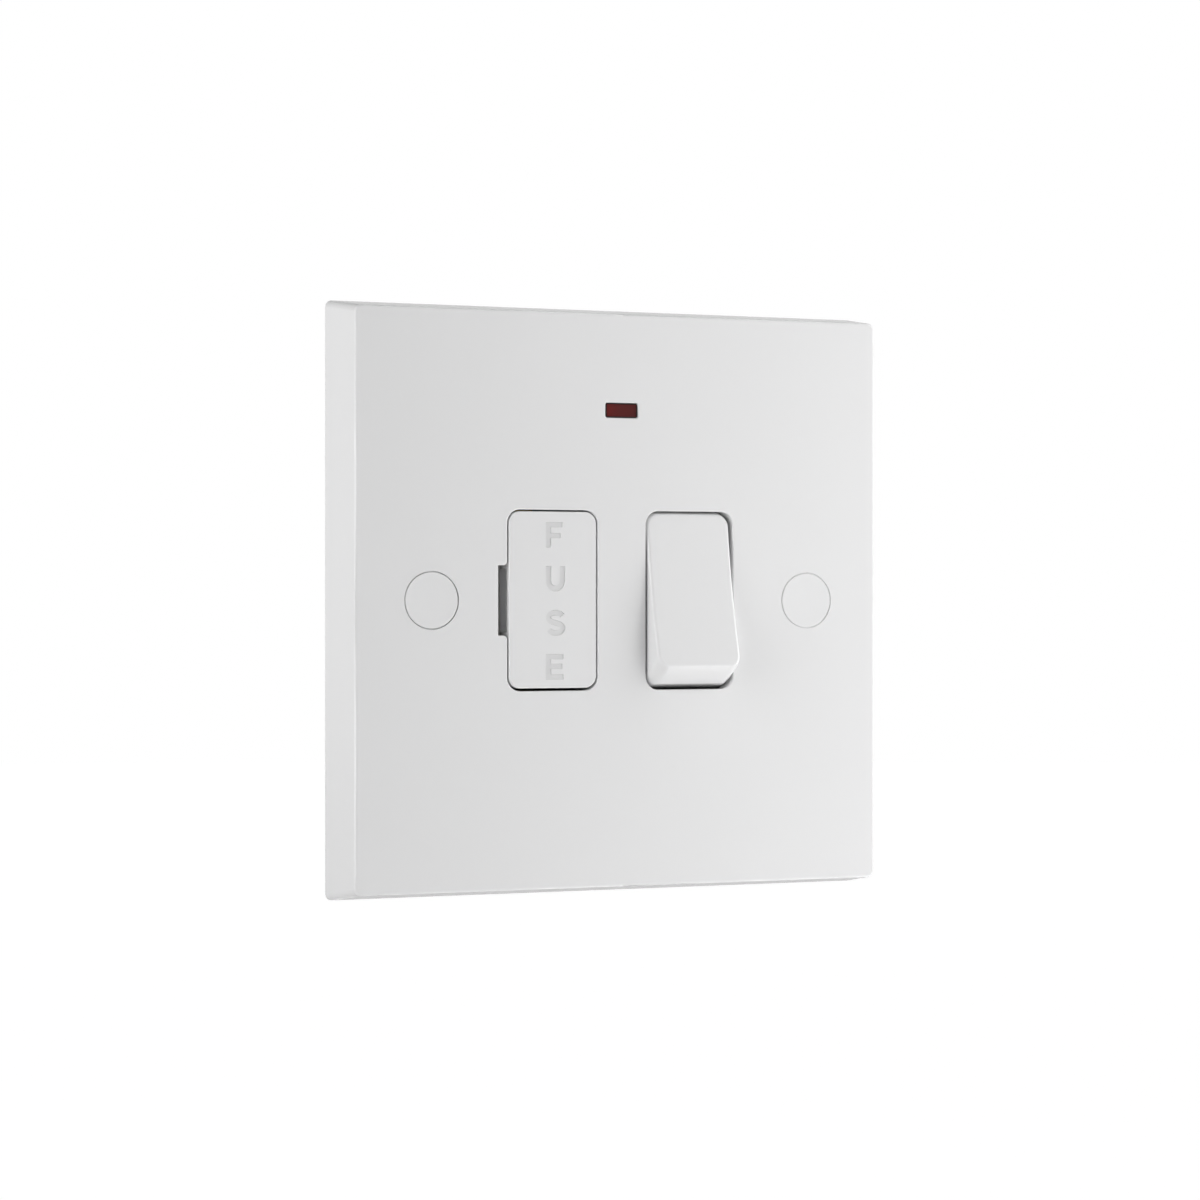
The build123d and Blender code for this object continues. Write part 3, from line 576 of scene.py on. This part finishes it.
def bar_cut(x, z, size, turn, top, depth):
    """A bar across a screw's head at an angle, from so deep to above its top."""
    half = np.array([(-1, -1), (1, -1), (1, 1), (-1, 1)]) * np.array(size) / 2
    spin = np.array([(cos(turn), sin(turn)), (-sin(turn), cos(turn))])
    return prism("bar_cut", half @ spin + (x, z), top - depth, top + depth, 0.0)


def make_screws(node, places, shank, thread, head, cuts):
    """Screws in place of a node's: at each place a threaded rod and a turned head with its driver's cuts."""
    top = shank[1] + head[1]
    heads = joined(node, [turned(head_profile(head, shank[1]), x, z) for x, z in places])
    cutters = []
    for (x, z), bars in zip(places, cuts):
        cutters += [bar_cut(x, z, size, turn, top, depth) for size, turn, depth in bars]
    heads = cut_away(heads, cutters)
    smooth(heads)
    new_piece(node + "_heads", heads, "unit", "plated_steel", finishes["plated_steel"], node)
    ends = (shank[0], shank[1] + rod_lap)
    rods = joined(node + "_rods", [threaded(x, z, ends, thread) for x, z in places])
    smooth(rods, thread_crease)
    new_piece(node + "_rods", rods, "unit", "plated_steel", finishes["plated_steel"])


def mark_outlines():
    """Each mark's outlines, drawn as they read from behind: L, N and the earth sign's stem and three bars."""
    tall, thick = mark_height, mark_stroke
    wide = mark_width_share * tall
    letter_l = [(0, 0), (wide, 0), (wide, thick), (thick, thick), (thick, tall), (0, tall)]
    slope = mark_slope_share * thick
    letter_n = [
        (0, 0),
        (thick, 0),
        (thick, tall - slope),
        (wide - thick, 0),
        (wide, 0),
        (wide, tall),
        (wide - thick, tall),
        (wide - thick, slope),
        (thick, tall),
        (0, tall),
    ]
    stem = earth_bars[0][1] * tall
    earth = [[(-thick / 2, stem), (thick / 2, stem), (thick / 2, tall), (-thick / 2, tall)]]
    for half_share, low_share in earth_bars:
        half = half_share * tall
        low = low_share * tall
        high = low + earth_bar_share * thick
        earth.append([(-half, low), (half, low), (half, high), (-half, high)])
    return {"L": [letter_l], "N": [letter_n], "earth": earth}


def raised_marks(material):
    """Marks as prisms, a little proud of the housing's back, above and below, that read from behind."""
    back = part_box("rear_housing")[1].y
    parts = []
    for name, outlines in mark_outlines().items():
        middle = 0.0 if name == "earth" else mark_width_share / 2 * mark_height
        for row in (-1, 1):
            foot = row * mark_z - mark_height / 2
            for outline in outlines:
                seen = (np.array(outline) - (middle, 0)) * (-1, 1) + (mark_places[name], foot)
                parts.append(prism_data(seen[::-1], back - mark_raise, back + mark_raise))
    new_piece("terminal_marks", joined("terminal_marks", parts), "unit", "housing_plastic", material)


def turned_cap(node, x, groove, lean):
    """A cap: its face dips as the square of the radius, its rim is a quarter round, a groove runs about it."""
    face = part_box(node)[0].y
    flat = cap_r - cap_round
    radius = np.linspace(0, flat, 25)
    dish = np.column_stack([radius, cap_dish * (1.0 - (radius / flat) ** 2)])
    bend = np.linspace(0, pi / 2, 7)[1:]
    rim = np.column_stack([flat + cap_round * np.sin(bend), cap_round * (1.0 - np.cos(bend))])
    inner = cap_skirt_r - cap_skirt_wall
    rest = np.array(
        [
            (cap_r, groove),
            (cap_groove_r, groove),
            (cap_groove_r, cap_thick),
            (cap_skirt_r, cap_thick),
            (cap_skirt_r, cap_skirt_back),
            (inner, cap_skirt_back),
            (inner, cap_thick),
            (0.0, cap_thick),
        ]
    )
    mesh = joined(node, [turned(np.concatenate([dish, rim, rest]) + (0.0, face), x, 0.0, lean)])
    smooth(mesh)
    new_piece(node + "_turned", mesh, "unit", "plate_plastic", finishes["plate_plastic"], node)


def make_floor():
    """A wide pale floor below the object: rings at shares of its reach, each a full turn of points."""
    turn = np.linspace(0, 2 * pi, 64, endpoint=False)
    reach = np.array([0.0, 0.2, 0.5, 1.0]) * floor_reach
    points = np.empty((len(reach), len(turn), 3))
    points[..., 0] = reach[:, None] * np.cos(turn)
    points[..., 1] = reach[:, None] * np.sin(turn)
    points[..., 2] = cad_low.z - floor_drop
    corners, quads = grid_data(points)
    mesh = bpy.data.meshes.new("floor")
    mesh.from_pydata(corners.tolist(), [], quads)
    floor = bpy.data.objects.new("floor", mesh)
    bpy.context.scene.collection.objects.link(floor)
    dress(floor, floor_material())


def seen_white(tree, mirrored):
    """1 to the camera, the mirrored share in gloss and glass, and 0 where surfaces gather light."""
    path = tree.nodes.new("ShaderNodeLightPath")
    gloss = arithmetic(tree, "MAXIMUM", path.outputs["Is Glossy Ray"], path.outputs["Is Transmission Ray"])
    share = arithmetic(tree, "MULTIPLY", gloss, mirrored)
    return arithmetic(tree, "MAXIMUM", path.outputs["Is Camera Ray"], share)


def floor_material():
    """Pale paper that keeps shadows; what looks straight at it sees it lifted to white."""
    material, tree, shader = node_material("floor_paper")
    shader.inputs["Base Color"].default_value = (floor_grey, floor_grey, floor_grey, 1.0)
    shader.inputs["Roughness"].default_value = 0.9
    shader.inputs["Emission Color"].default_value = (1.0, 1.0, 1.0, 1.0)
    glow = arithmetic(tree, "MULTIPLY", seen_white(tree, floor_mirrored), floor_glow)
    link(tree, glow, shader.inputs["Emission Strength"])
    return material


def make_world():
    """White all round to the camera. Gloss sees a white sweep behind, a dimmer room in front and overhead."""
    world = bpy.data.worlds.new("studio")
    bpy.context.scene.world = world
    world.use_nodes = True
    tree = world.node_tree
    background = tree.nodes["Background"]
    background.inputs["Color"].default_value = (1.0, 1.0, 1.0, 1.0)
    ray = tree.nodes.new("ShaderNodeSeparateXYZ")
    link(tree, tree.nodes.new("ShaderNodeTexCoord").outputs["Generated"], ray.inputs[0])
    sweep = fade(tree, ray.outputs["Y"], -0.3, 0.2, room_front, 1.0)
    ceiling = fade(tree, ray.outputs["Z"], 0.05, 0.35, 1.0, room_top)
    room = arithmetic(tree, "MULTIPLY", sweep, ceiling)
    strength = fade(tree, seen_white(tree, room), 0.0, 1.0, world_light, 1.0, "LINEAR")
    link(tree, strength, background.inputs["Strength"])


def softbox(name, place, size, power, mirrored=True, lit=True):
    """A rectangular lamp that faces the object. Gloss may leave it out, or be all that shows it."""
    data = bpy.data.lights.new(name, "AREA")
    data.shape = "RECTANGLE"
    data.size, data.size_y = size
    data.energy = power
    lamp = bpy.data.objects.new(name, data)
    bpy.context.scene.collection.objects.link(lamp)
    lamp.location = place
    lamp.visible_camera = False
    lamp.visible_glossy = mirrored
    lamp.visible_diffuse = lit
    lamp.rotation_mode = "QUATERNION"
    lamp.rotation_quaternion = (-Vector(place)).to_track_quat("-Z", "Y")


def make_camera():
    data = bpy.data.cameras.new("camera")
    data.sensor_width = sensor_width
    data.lens = focal_px / frame_px * sensor_width
    data.shift_x = (frame_px / 2 - axis_px[0]) / frame_px
    data.shift_y = (axis_px[1] - frame_px / 2) / frame_px
    data.clip_start = 0.01
    data.clip_end = 50.0
    camera = bpy.data.objects.new("camera", data)
    bpy.context.scene.collection.objects.link(camera)
    away = Vector((-sin(camera_turn), -cos(camera_turn), 0.0))
    camera.location = away * camera_distance
    camera.rotation_mode = "QUATERNION"
    camera.rotation_quaternion = (-away).to_track_quat("-Z", "Y")
    bpy.context.scene.camera = camera


finishes = {
    "plate_plastic": white_plastic(),
    "housing_plastic": housing_plastic(),
    "lens_red": lens_red(),
    "lamp_glass": lamp_glass(),
    "brass": brass(),
    "plated_steel": plated_steel(),
    "contact_silver": contact_silver(),
    "fuse_ceramic": fuse_ceramic(),
    "fuse_metal": fuse_nickel(),
    "lead_wire": tinned_wire(),
    "resistor_body": resistor_lacquer(),
    "plunger_plastic": plunger_plastic(),
}
finishes["rocker_plastic"] = finishes["plate_plastic"]
# The darker plastic for the letters' floors is painted shade.
finishes["letter"] = letter_floor_shade_plastic()
for part in frame["record"]["subparts"]:
    dress(frame["nodes"][part["node"]], finishes[part["material_slot"]])

engraved_carrier(finishes["plate_plastic"])
turned_cap("screw_cap_left", -cap_at, cap_grooves[0], cap_leans[0])
turned_cap("screw_cap_right", cap_at, cap_grooves[1], cap_leans[1])
raised_marks(finishes["housing_plastic"])
screws = [(x, row * terminal_z) for row in (-1, 1) for x in terminal_x]
slots = [[((slot_length, slot_size[0]), turn, slot_size[1])] for turn in slot_turns]
make_screws("terminal_screws", screws, terminal_shank, terminal_thread, terminal_head, slots)
screws = [(x, row * joint_z) for row in (-1, 1) for x in joint_x]
arms = (0.0, pi / 2)
crosses = [[(cross_size[:2], turn + arm, cross_size[2]) for arm in arms] for turn in cross_turns]
make_screws("joint_screws", screws, joint_shank, joint_thread, joint_head, crosses)

# Lamps, with each one's place and size in metres and its power in watts
make_floor()
make_world()
softbox("key", (0.362, -0.209, 0.037), (0.40, 0.50), 0.5)
softbox("front_right", (0.11, -0.20, 0.02), (0.12, 0.30), 0.23, mirrored=False)
softbox("right_high", (0.310, -0.110, 0.270), (0.36, 0.50), 0.8)
softbox("right", (0.332, -0.059, 0.047), (0.30, 0.40), 0.25)
softbox("left", (-0.555, -0.198, 0.120), (0.40, 0.60), 1.95)
softbox("left_edge", (-0.480, 0.0, 0.040), (0.40, 0.50), 0.85)
softbox("low", (0.160, -0.090, -0.250), (0.30, 0.25), 0.58)
softbox("strip", (-0.341, -0.487, 0.084), (0.06, 0.70), 0.15)
softbox("edge_glint", (-0.36, -0.16, 0.0), (0.70, 0.10), 0.6, lit=False)
softbox("back", (0.03, 0.90, -0.03), (0.30, 0.30), 6.0)
make_camera()

bpy.context.scene.view_settings.view_transform = "Standard"
